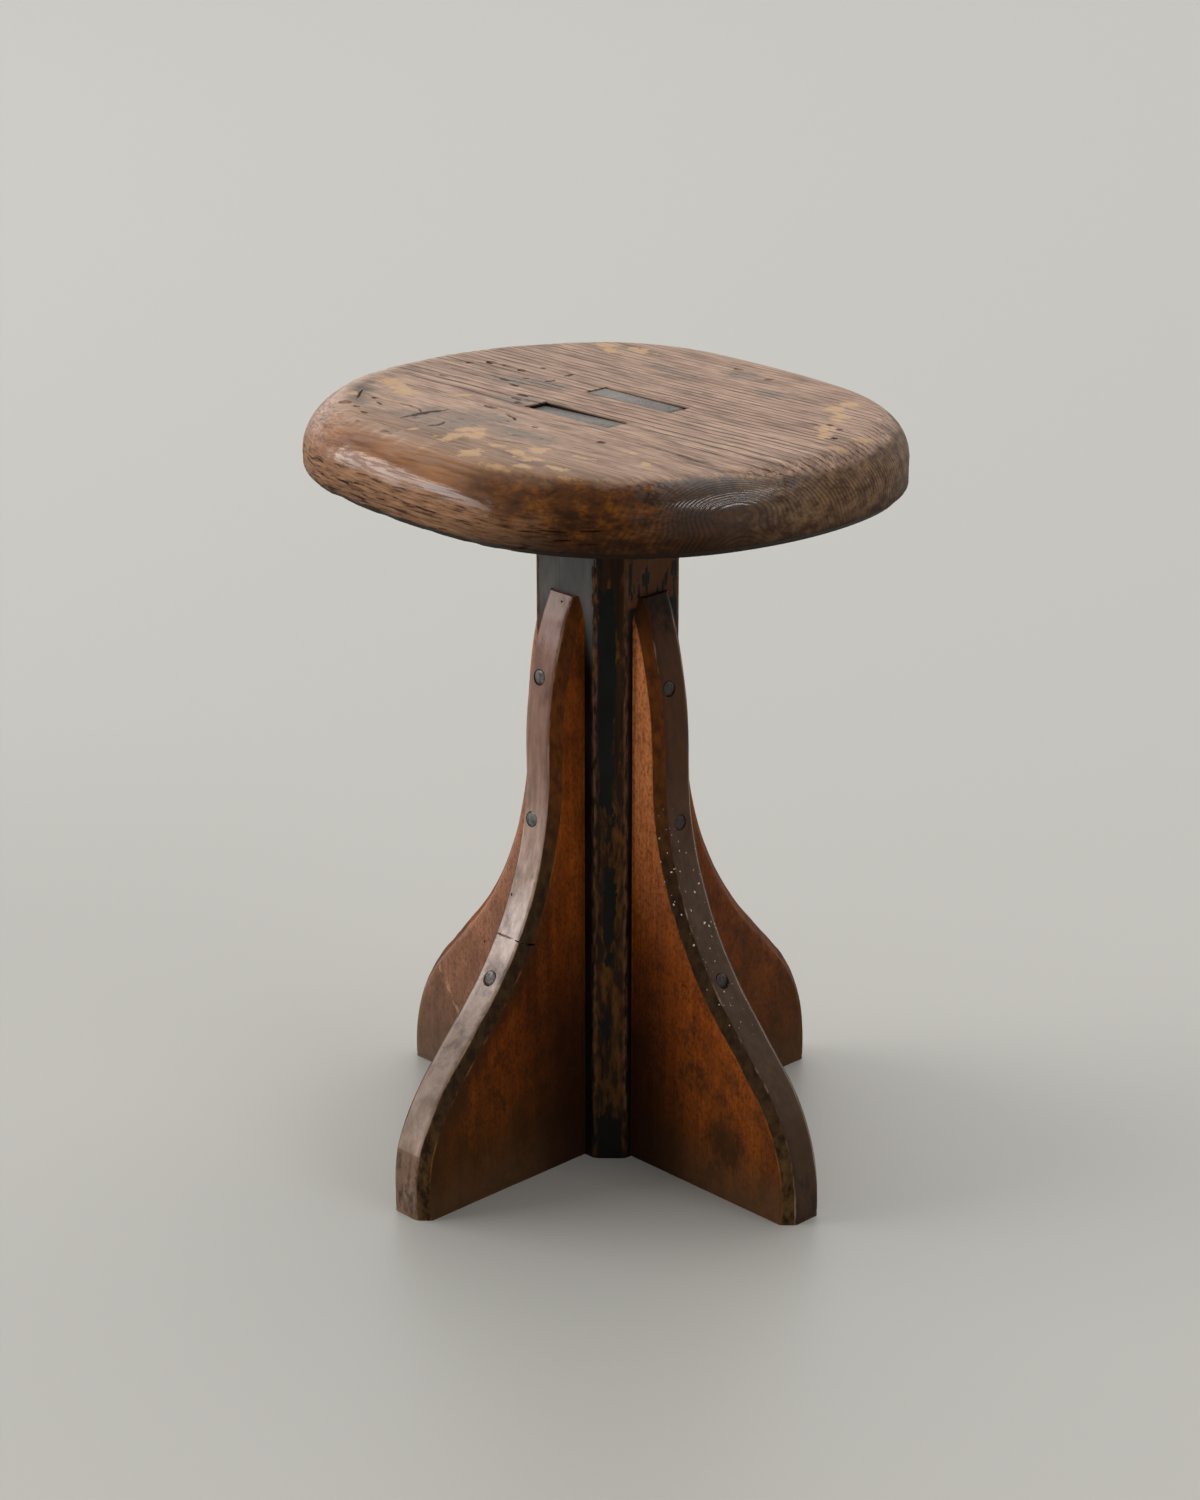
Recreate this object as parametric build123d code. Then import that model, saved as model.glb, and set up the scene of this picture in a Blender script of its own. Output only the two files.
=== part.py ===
from build123d import *
import math
import os

# Low workshop stool: a thick seat board tenoned onto a square post, with four ogee brackets as its feet.
# The origin is on the floor under the middle of the post, +Z is up and the front is towards -Y.
# The seat's grain and the tenons run along X. Driving dimensions are in millimetres and degrees.

# Seat board, an oblong with bowed edges and full corners
seat_height = 455.0
seat_thickness = 40.0
seat_length = 353.0
seat_width = 307.0
seat_end_radius = 202.0
seat_side_radius = 468.0
seat_corner_radius = 133.0
seat_top_round = 23.0
seat_bottom_chamfer = 3.5

# The board is neither quite centred on the post nor quite square to it
seat_shift_x = -6.0
seat_shift_y = 2.0
seat_turn = -4.0

# Post, with its long edges chamfered up to a sloping stop just under the seat
post_width_x = 74.0
post_width_y = 68.0
post_chamfer = 13.0
chamfer_stop_below_seat = 23.0
chamfer_stop_rise = 15.0

# Twin tenons, hard against one end of their mortises and a little below the seat's surface
tenon_thickness = 16.5
tenon_end_shoulder = 2.2
tenon_side_shoulder = 1.5
tenon_clearance = 0.2
front_tenon_length = 67.0
front_tenon_end_gap = 1.5
front_tenon_sunk = 2.2
back_tenon_length = 63.5
back_tenon_end_gap = 5.0
back_tenon_sunk = 0.6

# Bracket: depths are taken from the post's face, heights from the floor
bracket_thickness = 32.0
bracket_height = 352.0
bracket_reach = 129.5
bracket_ledge = 2.8
bracket_chamfer = 7.0
foot_rise = 9.0
foot_radius = 112.0
slope_from_upright = 41.7
waist_radius = 208.0
neck_depth = 21.3
shoulder_radius = 265.0

# Square-shanked nails with round heads, three in the edge of each bracket, tilted head up
nail_head_diameter = 8.6
nail_head_thickness = 1.8
nail_shank_width = 4.0
nail_point_length = 8.0
nail_head_sunk = 0.5
nail_clearance = 0.1
nail_head_clearance = 0.3
facing_nail_gap = 12.0
upper_nail_below_top = 50.0
upper_nail_tilt = 4.0
middle_nail_height = 219.0
middle_nail_tilt = 8.0
lower_nail_height = 130.0
lower_nail_tilt = 20.0

# What follows from them
shoulder_height = seat_height - seat_thickness
post_half_x = post_width_x / 2
post_half_y = post_width_y / 2
nail_bite = min(post_half_x, post_half_y) - facing_nail_gap / 2

FRONT = -1
BACK = 1

# How a bracket that points along +X from the origin is turned and moved to each face of the post
bracket_places = {
    "right": Pos(post_half_x, 0, 0),
    "back": Pos(0, post_half_y, 0) * Rot(0, 0, 90),
    "left": Pos(-post_half_x, 0, 0) * Rot(0, 0, 180),
    "front": Pos(0, -post_half_y, 0) * Rot(0, 0, -90),
}


def direction(start, end):
    """Angle of the line from one point to another, in degrees."""
    return math.degrees(math.atan2(end[1] - start[1], end[0] - start[0]))


def polar(centre, radius, angle):
    """Point on a circle."""
    a = math.radians(angle)
    return (centre[0] + radius * math.cos(a), centre[1] + radius * math.sin(a))


def circle_crossings(centre_a, radius_a, centre_b, radius_b):
    """The two points where a pair of circles cross."""
    apart = math.dist(centre_a, centre_b)
    along = (radius_a**2 - radius_b**2 + apart**2) / (2 * apart)
    spread = math.degrees(math.acos(along / radius_a))
    heading = direction(centre_a, centre_b)
    return [polar(centre_a, radius_a, heading + turn) for turn in (spread, -spread)]


def seat_outline():
    """Eight tangent arcs: bowed ends and sides, with a corner arc inside each pair of them."""
    end_centre = (seat_length / 2 - seat_end_radius, 0)
    side_centre = (0, seat_width / 2 - seat_side_radius)
    corner_centre = max(
        circle_crossings(
            end_centre,
            seat_end_radius - seat_corner_radius,
            side_centre,
            seat_side_radius - seat_corner_radius,
        )
    )
    mirrored_centre = (-corner_centre[0], corner_centre[1])
    end_angle = direction(end_centre, corner_centre)
    side_angle = direction(side_centre, corner_centre)
    corner_angle = side_angle - end_angle
    half = [
        CenterArc(end_centre, seat_end_radius, -end_angle, 2 * end_angle),
        CenterArc(corner_centre, seat_corner_radius, end_angle, corner_angle),
        CenterArc(side_centre, seat_side_radius, side_angle, 180 - 2 * side_angle),
        CenterArc(mirrored_centre, seat_corner_radius, 180 - side_angle, corner_angle),
    ]
    return make_face(half + [Rot(0, 0, 180) * arc for arc in half])


def tenon_block(side, length, height, room=0.0):
    """A tenon standing on the post's shoulder, or with room on its cheeks and near end its mortise."""
    near_end = tenon_end_shoulder - post_half_x
    middle = side * (post_half_y - tenon_side_shoulder - tenon_thickness / 2)
    block = Box(
        length + room,
        tenon_thickness + 2 * room,
        height,
        align=(Align.MIN, Align.CENTER, Align.MIN),
    )
    return Pos(near_end - room, middle, shoulder_height) * block


def make_seat():
    """The board with its worn round top edge, its planed lower arris and the two through mortises."""
    board = extrude(seat_outline(), seat_thickness)
    board = fillet(board.edges().group_by(Axis.Z)[-1], seat_top_round)
    board = chamfer(board.edges().group_by(Axis.Z)[0], seat_bottom_chamfer)
    board = Pos(seat_shift_x, seat_shift_y, shoulder_height) * Rot(0, 0, seat_turn) * board
    front_mortise = front_tenon_length + front_tenon_end_gap
    back_mortise = back_tenon_length + back_tenon_end_gap
    board -= tenon_block(FRONT, front_mortise, seat_thickness, tenon_clearance)
    board -= tenon_block(BACK, back_mortise, seat_thickness, tenon_clearance)
    return board


def make_post(nail_holes):
    """The timber with stopped chamfers, twin tenons and the holes that the nails made."""
    timber = Box(
        post_width_x,
        post_width_y,
        shoulder_height,
        align=(Align.CENTER, Align.CENTER, Align.MIN),
    )
    stop_height = shoulder_height - chamfer_stop_below_seat
    for x in (-post_half_x, post_half_x):
        for y in (-post_half_y, post_half_y):
            along_x = (x - math.copysign(post_chamfer, x), y)
            along_y = (x, y - math.copysign(post_chamfer, y))
            triangle = make_face(Polyline((x, y), along_x, along_y, close=True))
            point = Vertex(x, y, stop_height + chamfer_stop_rise)
            timber -= extrude(triangle, stop_height, dir=(0, 0, 1))
            timber -= loft([Pos(0, 0, stop_height) * triangle, point])
    timber += tenon_block(FRONT, front_tenon_length, seat_thickness - front_tenon_sunk)
    timber += tenon_block(BACK, back_tenon_length, seat_thickness - back_tenon_sunk)
    for place in bracket_places.values():
        for hole in nail_holes:
            timber -= place * hole
    return timber


def bracket_blank():
    """The sawn ogee with its outer edge chamfered on both sides, back face at x = 0."""
    spare = 2 * bracket_chamfer
    foot_centre = (bracket_reach - foot_radius, foot_rise)
    foot_end = polar(foot_centre, foot_radius, slope_from_upright)
    waist_x = neck_depth + waist_radius
    slope_end_x = waist_x - waist_radius * math.cos(math.radians(slope_from_upright))
    slope_rise = (foot_end[0] - slope_end_x) / math.tan(math.radians(slope_from_upright))
    slope_end = (slope_end_x, foot_end[1] + slope_rise)
    waist_centre = (waist_x, slope_end[1] + waist_radius * math.sin(math.radians(slope_from_upright)))
    # The shoulder arc touches the waist arc and ends on the ledge's corner
    ledge_corner = (bracket_ledge, bracket_height)
    shoulder_centre = min(
        circle_crossings(ledge_corner, shoulder_radius, waist_centre, waist_radius + shoulder_radius)
    )
    waist_start = 180 + slope_from_upright
    waist_turn = direction(shoulder_centre, waist_centre) - slope_from_upright
    shoulder_start = direction(shoulder_centre, waist_centre)
    shoulder_end = math.degrees(math.acos((-spare - shoulder_centre[0]) / shoulder_radius))
    shoulder_top = polar(shoulder_centre, shoulder_radius, shoulder_end)
    outline = [
        Line((bracket_reach, -spare), (bracket_reach, foot_rise)),
        CenterArc(foot_centre, foot_radius, 0, slope_from_upright),
        Line(foot_end, slope_end),
        CenterArc(waist_centre, waist_radius, waist_start, waist_turn),
        CenterArc(shoulder_centre, shoulder_radius, shoulder_start, shoulder_end - shoulder_start),
        Polyline(shoulder_top, (-spare, -spare), (bracket_reach, -spare)),
    ]
    blank = extrude(Plane.XZ * make_face(outline), bracket_thickness / 2, both=True)
    side_edges = blank.edges().filter_by_position(Axis.Y, -bracket_thickness, -bracket_thickness / 4)
    side_edges += blank.edges().filter_by_position(Axis.Y, bracket_thickness / 4, bracket_thickness)
    outer_edges = side_edges.filter_by(lambda edge: min(edge.center().X, edge.center().Z) > -spare / 2)
    blank = chamfer(outer_edges, bracket_chamfer)
    trimmed = Box(
        bracket_reach,
        bracket_thickness,
        bracket_height,
        align=(Align.MIN, Align.CENTER, Align.MIN),
    )
    return blank & trimmed


def nail_form(length, head_radius, head_top, shank_width):
    """A nail along -Z with the outer face of its head at the origin, or the hole that it makes."""
    under_head = -nail_head_thickness
    head_height = head_top - under_head
    head = Pos(0, 0, under_head) * extrude(Circle(head_radius), head_height)
    shank_section = Pos(0, 0, under_head) * Rectangle(shank_width, shank_width)
    shank_length = length - nail_head_thickness - nail_point_length
    shank = extrude(shank_section, shank_length, dir=(0, 0, -1))
    point = loft([Pos(0, 0, -shank_length) * shank_section, Vertex(0, 0, -length)])
    return head + shank + point


def nail_and_hole(blank, height, tilt):
    """A nail in a bracket's outer edge that bites into the post, and the hole for it."""
    level = Axis((0, 0, height), (1, 0, 0))
    edge_point = blank.find_intersection_points(level)[-1][0]
    outward = Vector(1, 0, 0).rotate(Axis.Y, -tilt)
    head = Plane(edge_point - outward * nail_head_sunk, x_dir=(0, 1, 0), z_dir=outward)
    length = (edge_point.X + nail_bite) / math.cos(math.radians(tilt)) - nail_head_sunk
    head_radius = nail_head_diameter / 2
    nail = nail_form(length, head_radius, 0, nail_shank_width)
    hole = nail_form(
        length + nail_clearance,
        head_radius + nail_head_clearance,
        nail_head_diameter,
        nail_shank_width + 2 * nail_clearance,
    )
    return head * nail, head * hole


def export_node(name, solids):
    """One STEP file for a node, with each of its solids kept separate."""
    shape = solids[0] if len(solids) == 1 else Compound(children=solids)
    export_step(shape, f"parts/{name}.step")


blank = bracket_blank()
nail_rows = {
    "upper_nails": nail_and_hole(blank, bracket_height - upper_nail_below_top, upper_nail_tilt),
    "middle_nails": nail_and_hole(blank, middle_nail_height, middle_nail_tilt),
    "lower_nails": nail_and_hole(blank, lower_nail_height, lower_nail_tilt),
}
nail_holes = [hole for nail, hole in nail_rows.values()]
bracket = blank
for hole in nail_holes:
    bracket -= hole

os.makedirs("parts", exist_ok=True)
export_node("seat", [make_seat()])
export_node("post", [make_post(nail_holes)])
for side, place in bracket_places.items():
    export_node(f"bracket_{side}", [place * bracket])
for row, (nail, hole) in nail_rows.items():
    export_node(row, [place * nail for place in bracket_places.values()])
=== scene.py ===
import math
import random

import bmesh
import bpy
import numpy as np
from mathutils import Matrix, Vector, kdtree, noise


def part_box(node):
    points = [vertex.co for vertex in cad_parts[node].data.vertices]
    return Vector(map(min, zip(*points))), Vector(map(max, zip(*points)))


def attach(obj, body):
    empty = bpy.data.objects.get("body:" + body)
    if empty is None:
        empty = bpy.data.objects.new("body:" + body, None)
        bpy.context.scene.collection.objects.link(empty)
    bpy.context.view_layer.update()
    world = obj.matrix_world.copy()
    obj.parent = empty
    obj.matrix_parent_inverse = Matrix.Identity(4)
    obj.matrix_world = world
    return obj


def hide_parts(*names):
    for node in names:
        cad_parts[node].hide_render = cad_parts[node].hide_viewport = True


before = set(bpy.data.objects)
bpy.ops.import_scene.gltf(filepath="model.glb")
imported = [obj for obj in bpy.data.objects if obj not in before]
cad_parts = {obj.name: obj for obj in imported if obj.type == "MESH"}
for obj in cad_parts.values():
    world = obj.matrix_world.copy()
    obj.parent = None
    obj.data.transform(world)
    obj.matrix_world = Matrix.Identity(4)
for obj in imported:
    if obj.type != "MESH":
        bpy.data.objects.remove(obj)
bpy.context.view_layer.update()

# Sizes are in millimetres unless a name says otherwise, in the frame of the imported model:
# +Z up, origin on the floor under the middle of the post, seat grain along X.
MM = 0.001
WELD = 0.01
OCTREE_DEPTH = 8
# Size of the small even faces that wear is worked into
SEAT_CELL = 1.65
POST_CELL = 1.65
BRACKET_CELL = 1.4

SEAT_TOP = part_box("seat")[1].z / MM
SEAT_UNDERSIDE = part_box("seat")[0].z / MM
POST_HALF_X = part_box("post")[1].x / MM
POST_HALF_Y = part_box("post")[1].y / MM
POST_CHAMFER = 13.0
BRACKET_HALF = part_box("bracket_front")[1].x / MM
BRACKET_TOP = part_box("bracket_front")[1].z / MM
BRACKET_CHAMFER = 7.0

# Outward direction of each bracket, and the direction of its thickness
BRACKET_WAYS = {
    "front": (Vector((0, -1, 0)), Vector((1, 0, 0))),
    "right": (Vector((1, 0, 0)), Vector((0, 1, 0))),
    "back": (Vector((0, 1, 0)), Vector((1, 0, 0))),
    "left": (Vector((-1, 0, 0)), Vector((0, 1, 0))),
}
# How far each row of nails tilts head up, in degrees
NAIL_TILTS = {"upper_nails": 4.0, "middle_nails": 8.0, "lower_nails": 20.0}
NAIL_HEAD_RADIUS = 4.3
NAIL_HEAD_THICKNESS = 1.8
NAIL_SHANK = 4.0
NAIL_HOLE_REACH = 4.95
# The nails were driven by eye: how far each one strays sideways and up from its row
NAIL_STRAYS = {
    "front": ((-1.7, 2.6), (-2.7, -0.4), (-0.4, -0.4)),
    "right": ((-3.5, -2.4), (-0.6, -0.3), (-1.7, 0.4)),
    "back": ((1.5, -1.0), (-1.2, 0.8), (0.6, -0.5)),
    "left": ((-1.4, 1.2), (1.0, -0.9), (0.8, 0.6)),
}
# The brackets were sawn by eye too: how far each one's outer edge bulges, as height and amount
BULGES = {
    "front": ((150, 0.0), (230, 1.2), (280, 2.2), (320, 2.6), (340, 1.6), (352, 0.3)),
    "right": ((0, 0.0), (352, 0.0)),
    "back": ((0, 2.0), (50, 4.0), (125, 3.0), (235, 1.0), (300, 0.0)),
    "left": (
        (30, 0.0), (75, -3.2), (150, -2.4), (200, -0.6), (260, 0.0), (300, 0.8), (330, 0.8), (352, 0.0),
    ),
}
# How far sawing by eye eases from one stretch of an edge to the next
BULGE_EASE = 15.0
EDGE_EASE = 13.0
POCKET_RADIUS = 4.75
POCKET_RISE = 3.0
# The front bracket's foot was cut off square, which left a crease that stands out and fades above and below
CREASE_HEIGHT = 40.0
CREASE_STAND = 1.8
CREASE_FADE = 28.0
# Cuts in the brackets: middle, way it runs, way it faces, and length, width and depth.
# They are a crack across the front one's edge, worm holes, and a nick in the right one.
WORM_HOLE = (1.7, 1.5, 1.6)
BRACKET_CUTS = {
    "front": (
        ((-3.0, -81.6, 151.9), (1, 0, 0.02), (0, -0.88, 0.47), (16, 1.5, 2.2)),
        ((9.2, -80.0, 151.0), (1, 0.3, -0.12), (0.3, -0.85, 0.44), (6.5, 1.2, 1.8)),
        ((14.6, -76.0, 149.8), (0.7, 0.7, 0), (0.71, -0.62, 0.33), (5.5, 1.4, 2.2)),
        ((2.5, -38.4, 347.8), (0, 0, 1), (0, -0.94, 0.35), WORM_HOLE),
        ((-7.1, -70.9, 173.4), (0, 0, 1), (0, -0.93, 0.37), WORM_HOLE),
        ((-7.4, -48.6, 316), (0, 0, 1), (0, -1, 0.1), WORM_HOLE),
        ((16, -52, 246), (0, 0, 1), (1, 0, 0), WORM_HOLE),
    ),
    "right": (((80.3, -16, 126.2), (0.9, 0, -0.3), (0, -1, 0), (4.0, 1.2, 1.2)),),
    "back": (),
    "left": (((-92.7, -16, 100.5), (0, 0, 1), (0, -1, 0), (1.8, 1.6, 1.6)),),
}

# Radius of the seat's rounded edge as drawn, and where use has worn it rounder
SEAT_ROUND = 23.0
WORN_ROUND = 30.0
# How far below the top the rounded edge is taken to begin, and how far the top is dished
EDGE_DROP = 0.7
DISH = 0.5
DISH_RADIUS = 140.0
# Splits lifting along the grain on both long sides of the rim: rows, how many in each, and their spacing
SPLIT_ROWS = 6
SPLITS_IN_ROW = 9
SPLIT_STEP = 30.0
SPLIT_RISE = 3.6
SPLIT_START = -118.0
# Mortises right through the seat (low x, high x, low y, high y) and the tenon ends standing in them
MORTISES = ((-35.0, 33.7, -32.7, -15.4), (-35.4, 33.7, 15.8, 33.0))
FRONT_TENON = ((-34.8, 32.2, -32.5, -16.0), (452.0, 453.6))
BACK_TENON = ((-34.8, 28.4, 16.1, 31.9), (453.9, 453.6))
CHIP = ((28.0, 33.2, 16.4, 32.1), (453.6, 450.4))

# The heart of the tree runs along X through the front of the board
HEART_Y = -57.0
HEART_Z = 404.0
RING = 4.4
# A knot just under the rim at the front right bends the rings into long loops
KNOT = (157.0, -62.0, 441.0)
KNOT_TURN = math.radians(68.0)
KNOT_SIZE = (34.0, 14.0, 9.0)
KNOT_PUSH = 15.0

# Marks on the seat's top: ochre paint rubbed into the wood, and dark stains.
# Each is centre x, y, length, width and the angle of its length from X in degrees.
OCHRE = (
    (-128, -51, 34, 16, -12), (-112, -57, 30, 17, -20), (-125, -83, 14, 9, -10), (-78, -40, 12, 6, 60),
    (-104, -62, 16, 9, 0),
    (-17, -90, 20, 16, 20), (-6, -96, 18, 16, 80), (-14, -104, 22, 15, 70), (-10, -112, 15, 12, 0),
    (21, -122, 21, 18, 0), (19, -103, 11, 9, 0), (42, -92, 20, 15, 40), (36, -104, 16, 11, 0),
    (52, -108, 22, 11, 20), (60, -121, 16, 8, 0), (76, -112, 18, 8, 10), (70, -86, 20, 4, 10),
    (96, -118, 26, 6, 8), (88, -127, 16, 6, 0), (48, -130, 24, 7, 0), (104, -72, 18, 8, -20),
    (80, -60, 13, 6, 0), (-40, -112, 14, 5, 70), (22, -141, 26, 5, 5),
    (-84, 110, 26, 13, -10), (-108, 105, 22, 14, 20), (-97, 97, 22, 11, 0), (-120, 85, 28, 4, 0),
    (92, 102, 17, 14, 0), (94, 89, 17, 15, 0), (108, 77, 22, 13, -45), (118, 53, 21, 12, -50),
    (127, 42, 18, 11, -50), (148, 52, 18, 12, 40), (164, 47, 24, 12, -30), (153, 28, 17, 9, 20),
    (156, 62, 16, 10, 0),
)
STAIN = (
    (-138, -66, 34, 22, -50), (-126, -79, 40, 22, -42), (-112, -92, 36, 16, -25), (-62, -84, 44, 34, 80),
    (-36, -82, 40, 60, 0), (-30, -62, 62, 30, 0), (10, -76, 60, 24, 0), (-48, -24, 36, 24, 0),
    (-84, 4, 40, 28, 0), (-44, -122, 26, 14, 0), (0, 112, 34, 24, 60), (46, 88, 36, 14, 0),
    (-34, 88, 50, 12, 0), (-66, 14, 22, 36, 80),
)
# Cracks on the top, each as its path, width and depth. The first is a knife cut, with a check running off it.
CRACKS = (
    (((-62.5, -101), (-62, -93), (-63, -85), (-60.5, -77), (-59, -67)), 4.2, 5.0),
    (((-90, -80), (-80, -79), (-72, -79.5), (-64.4, -84)), 2.4, 3.0),
    (((-128, -74), (-120, -83), (-113, -91)), 2.2, 2.2),
    (((2, -96), (14, -93.5), (30, -88.5)), 1.6, 1.8),
    (((32, -42.5), (62, -43.5), (96, -45), (130, -49)), 1.5, 1.8),
    (((-39, -88), (-37.5, -95), (-39, -103)), 2.6, 2.4),
    (((-30, -52), (-22, -53), (-14, -57)), 3.4, 2.2),
    (((-100, -87), (-90, -90)), 2.4, 2.2),
)
# Worm-eaten and knocked-out pits on the top: centre x, y, length, width, depth
PITS = (
    (-133.5, 14.5, 6.5, 4.0, 1.8), (-125, 24, 8.5, 5.6, 2.2), (-111, 25.5, 13, 3.4, 2.0),
    (-98, 24.5, 8.5, 5.0, 2.4), (-93, 37, 5, 3.4, 1.8), (53, -56.5, 6.5, 5.0, 2.0),
    (-120, -18, 8, 3.6, 1.4), (-88, 2, 10, 4.0, 1.6),
    (-75, -3, 9, 3.4, 1.4), (-82, 13, 6, 3.4, 1.4), (-70, 36, 3.6, 8.0, 1.5), (-68, 19, 4.0, 9.0, 1.3),
    (20, 62, 14, 1.8, 1.2), (-113, -100, 11, 6.0, 2.2), (-107, -82, 6, 4.0, 1.7), (-70, -130, 8, 4.0, 1.7),
    (-76, -121, 7, 3.4, 1.5), (-46, -127, 14, 8.0, 1.6), (-54, -16, 12, 3.6, 1.6), (-50, -24, 11, 3.2, 1.6),
    (-43, -29.5, 9, 3.0, 1.4), (-47, -47, 12, 5.0, 1.6), (4, -60, 6, 3.0, 1.2), (-100, -102, 6, 3.6, 1.5),
    (-86, -108, 7, 3.6, 1.5), (20, 112, 7, 5.0, 1.1), (-10, 118, 8, 4.0, 1.1), (116, 60, 5, 4.0, 1.2),
    (126, 57, 6, 3.6, 1.2), (137, 40, 5, 4.0, 1.3),
)
# Paint left on a chamfer: low and high height, then from where to where across it from its middle
PAINT_ISLANDS = (
    (224, 362, -7.4, 1.6), (300, 352, -6.0, 3.0), (203, 218, -2.2, 2.0), (139, 189, -3.4, 3.2),
    (127, 133, -2.5, 1.0), (104, 118, -3.6, -1.4), (76, 95, -5.4, 1.2), (-20, 30, -9.0, 9.0),
    (372, 430, -9.0, -5.0),
)

# A dark blotch low on the front face of the right bracket, and the ends of a scuff on the left one
BLOTCH = (117.5, -16.0, 38.0)
BLOTCH_SIZE = (15.0, 5.0, 17.0)
SCUFF = (np.array((-138.0, -16.0, 70.0)), np.array((-119.0, -16.0, 44.0)))

# Floor and camera: sizes in metres, angles in radians
FLOOR_SIZE = 60.0
ROOM_WAY = Vector((-0.55, 0.75, 0.36)).normalized()
CAMERA_PLACE = Vector((1.3376, -1.2979, 0.93))
CAMERA_AZIMUTH = math.radians(46.0)
CAMERA_ELEVATION = math.radians(20.12)
CAMERA_LENS = 80.85
CAMERA_SENSOR = 36.0

MATH = "ShaderNodeMath"
VECTOR = "ShaderNodeVectorMath"
RANGE = "ShaderNodeMapRange"
MIX = "ShaderNodeMix"
NOISE = "ShaderNodeTexNoise"
SPLIT = "ShaderNodeSeparateXYZ"
ATTRIBUTE = "ShaderNodeAttribute"
BUMP = "ShaderNodeBump"
PRINCIPLED = "ShaderNodeBsdfPrincipled"
OUTPUT = "ShaderNodeOutputMaterial"
# Settings that most nodes of a kind have here, and a softer ramp
USUAL = {MIX: {"data_type": "RGBA"}, MATH: {"operation": "MULTIPLY"}}
SMOOTH = {"interpolation_type": "SMOOTHSTEP"}


def linear(code):
    """An sRGB hex colour as linear RGBA."""
    channels = [int(code[i : i + 2], 16) / 255 for i in (1, 3, 5)]
    return tuple(c / 12.92 if c <= 0.04045 else ((c + 0.055) / 1.055) ** 2.4 for c in channels) + (1.0,)


def put(tree, kind, *values, named=None, **settings):
    """Adds a node with its settings; values or other nodes fill its open sockets, in order or by name."""
    made = tree.nodes.new(kind)
    for name, value in {**USUAL.get(kind, {}), **settings}.items():
        setattr(made, name, value)
    sockets = [s for s in made.inputs if s.enabled]
    filled = list(zip(sockets, values))
    for name, value in (named or {}).items():
        filled.append((next(s for s in sockets if s.name == name), value))
    for socket, value in filled:
        if isinstance(value, str):
            value = linear(value)
        if isinstance(value, bpy.types.Node):
            value = next(o for o in value.outputs if o.enabled)
        if isinstance(value, bpy.types.NodeSocket):
            tree.links.new(value, socket)
        else:
            socket.default_value = value
    return made


def new_material(name):
    """An empty node material, its tree and the place on the piece in millimetres."""
    material = bpy.data.materials.new(name)
    material.use_nodes = True
    tree = material.node_tree
    tree.nodes.clear()
    spot = put(tree, "ShaderNodeTexCoord").outputs["Object"]
    return (material, tree, put(tree, VECTOR, spot, 1 / MM, operation="SCALE"))


def lumps(tree, place, size, detail=2.0, roughness=0.5):
    """Noise from 0 to 1 whose lumps have the given length along X, Y and Z in millimetres."""
    spread = put(tree, VECTOR, place, tuple((1 / s for s in size)), operation="MULTIPLY")
    return put(tree, NOISE, spread, 1.0, detail, roughness).outputs["Fac"]


def solid_from(node):
    """A bmesh copy of a CAD node, with its loose triangles joined."""
    b = bmesh.new()
    b.from_mesh(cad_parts[node].data)
    bmesh.ops.remove_doubles(b, verts=b.verts, dist=WELD * MM)
    return b


def plug(b, walls):
    """Takes the walls of holes out and closes the surface over them."""
    bmesh.ops.delete(b, geom=walls, context="FACES")
    rims = [e for e in b.edges if e.is_boundary]
    bmesh.ops.holes_fill(b, edges=rims, sides=0)


def merge(b, part):
    """Adds one bmesh to another."""
    mesh = bpy.data.meshes.new("part")
    part.to_mesh(mesh)
    part.free()
    b.from_mesh(mesh)
    bpy.data.meshes.remove(mesh)


def new_object(b, name):
    """Turns a bmesh into an object at the origin."""
    mesh = bpy.data.meshes.new(name)
    b.to_mesh(mesh)
    b.free()
    made = bpy.data.objects.new(name, mesh)
    bpy.context.scene.collection.objects.link(made)
    return made


def settle(piece):
    """Makes the modified shape of a piece its own mesh."""
    graph = bpy.context.evaluated_depsgraph_get()
    mesh = bpy.data.meshes.new_from_object(piece.evaluated_get(graph))
    piece.modifiers.clear()
    old = piece.data
    piece.data = mesh
    bpy.data.meshes.remove(old)


def even_mesh(piece, cell):
    """Covers a piece with small even faces that wear can be worked into, keeping its arrises sharp."""
    remesh = piece.modifiers.new("even_mesh", "REMESH")
    remesh.mode = "SHARP"
    remesh.octree_depth = OCTREE_DEPTH
    remesh.scale = max(piece.dimensions) / MM / (cell * 2**OCTREE_DEPTH)
    remesh.sharpness = 1.0
    remesh.use_remove_disconnected = False
    settle(piece)


def combine(piece, other, operation):
    """Adds another piece's shape or cuts it out, and throws that piece away."""
    boolean = piece.modifiers.new("combine", "BOOLEAN")
    boolean.operation = operation
    boolean.solver = "EXACT"
    boolean.object = other
    settle(piece)
    bpy.data.objects.remove(other)


def seal(piece):
    """Welds the slivers that cutting leaves and closes the pinholes beside them."""
    b = bmesh.new()
    b.from_mesh(piece.data)
    bmesh.ops.remove_doubles(b, verts=b.verts, dist=WELD * MM / 10)
    bmesh.ops.holes_fill(b, edges=[e for e in b.edges if e.is_boundary], sides=0)
    b.to_mesh(piece.data)
    b.free()


def points_of(piece):
    """Vertex places in millimetres, and unit normals."""
    count = len(piece.data.vertices)
    places = np.empty(count * 3, np.float32)
    normals = np.empty(count * 3, np.float32)
    piece.data.vertices.foreach_get("co", places)
    piece.data.vertex_normals.foreach_get("vector", normals)
    return places.reshape(-1, 3).astype(float) / MM, normals.reshape(-1, 3).astype(float)


def move_points(piece, places):
    """Puts the vertices at new places, in millimetres."""
    piece.data.vertices.foreach_set("co", (places * MM).astype(np.float32).ravel())
    piece.data.update()


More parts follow.
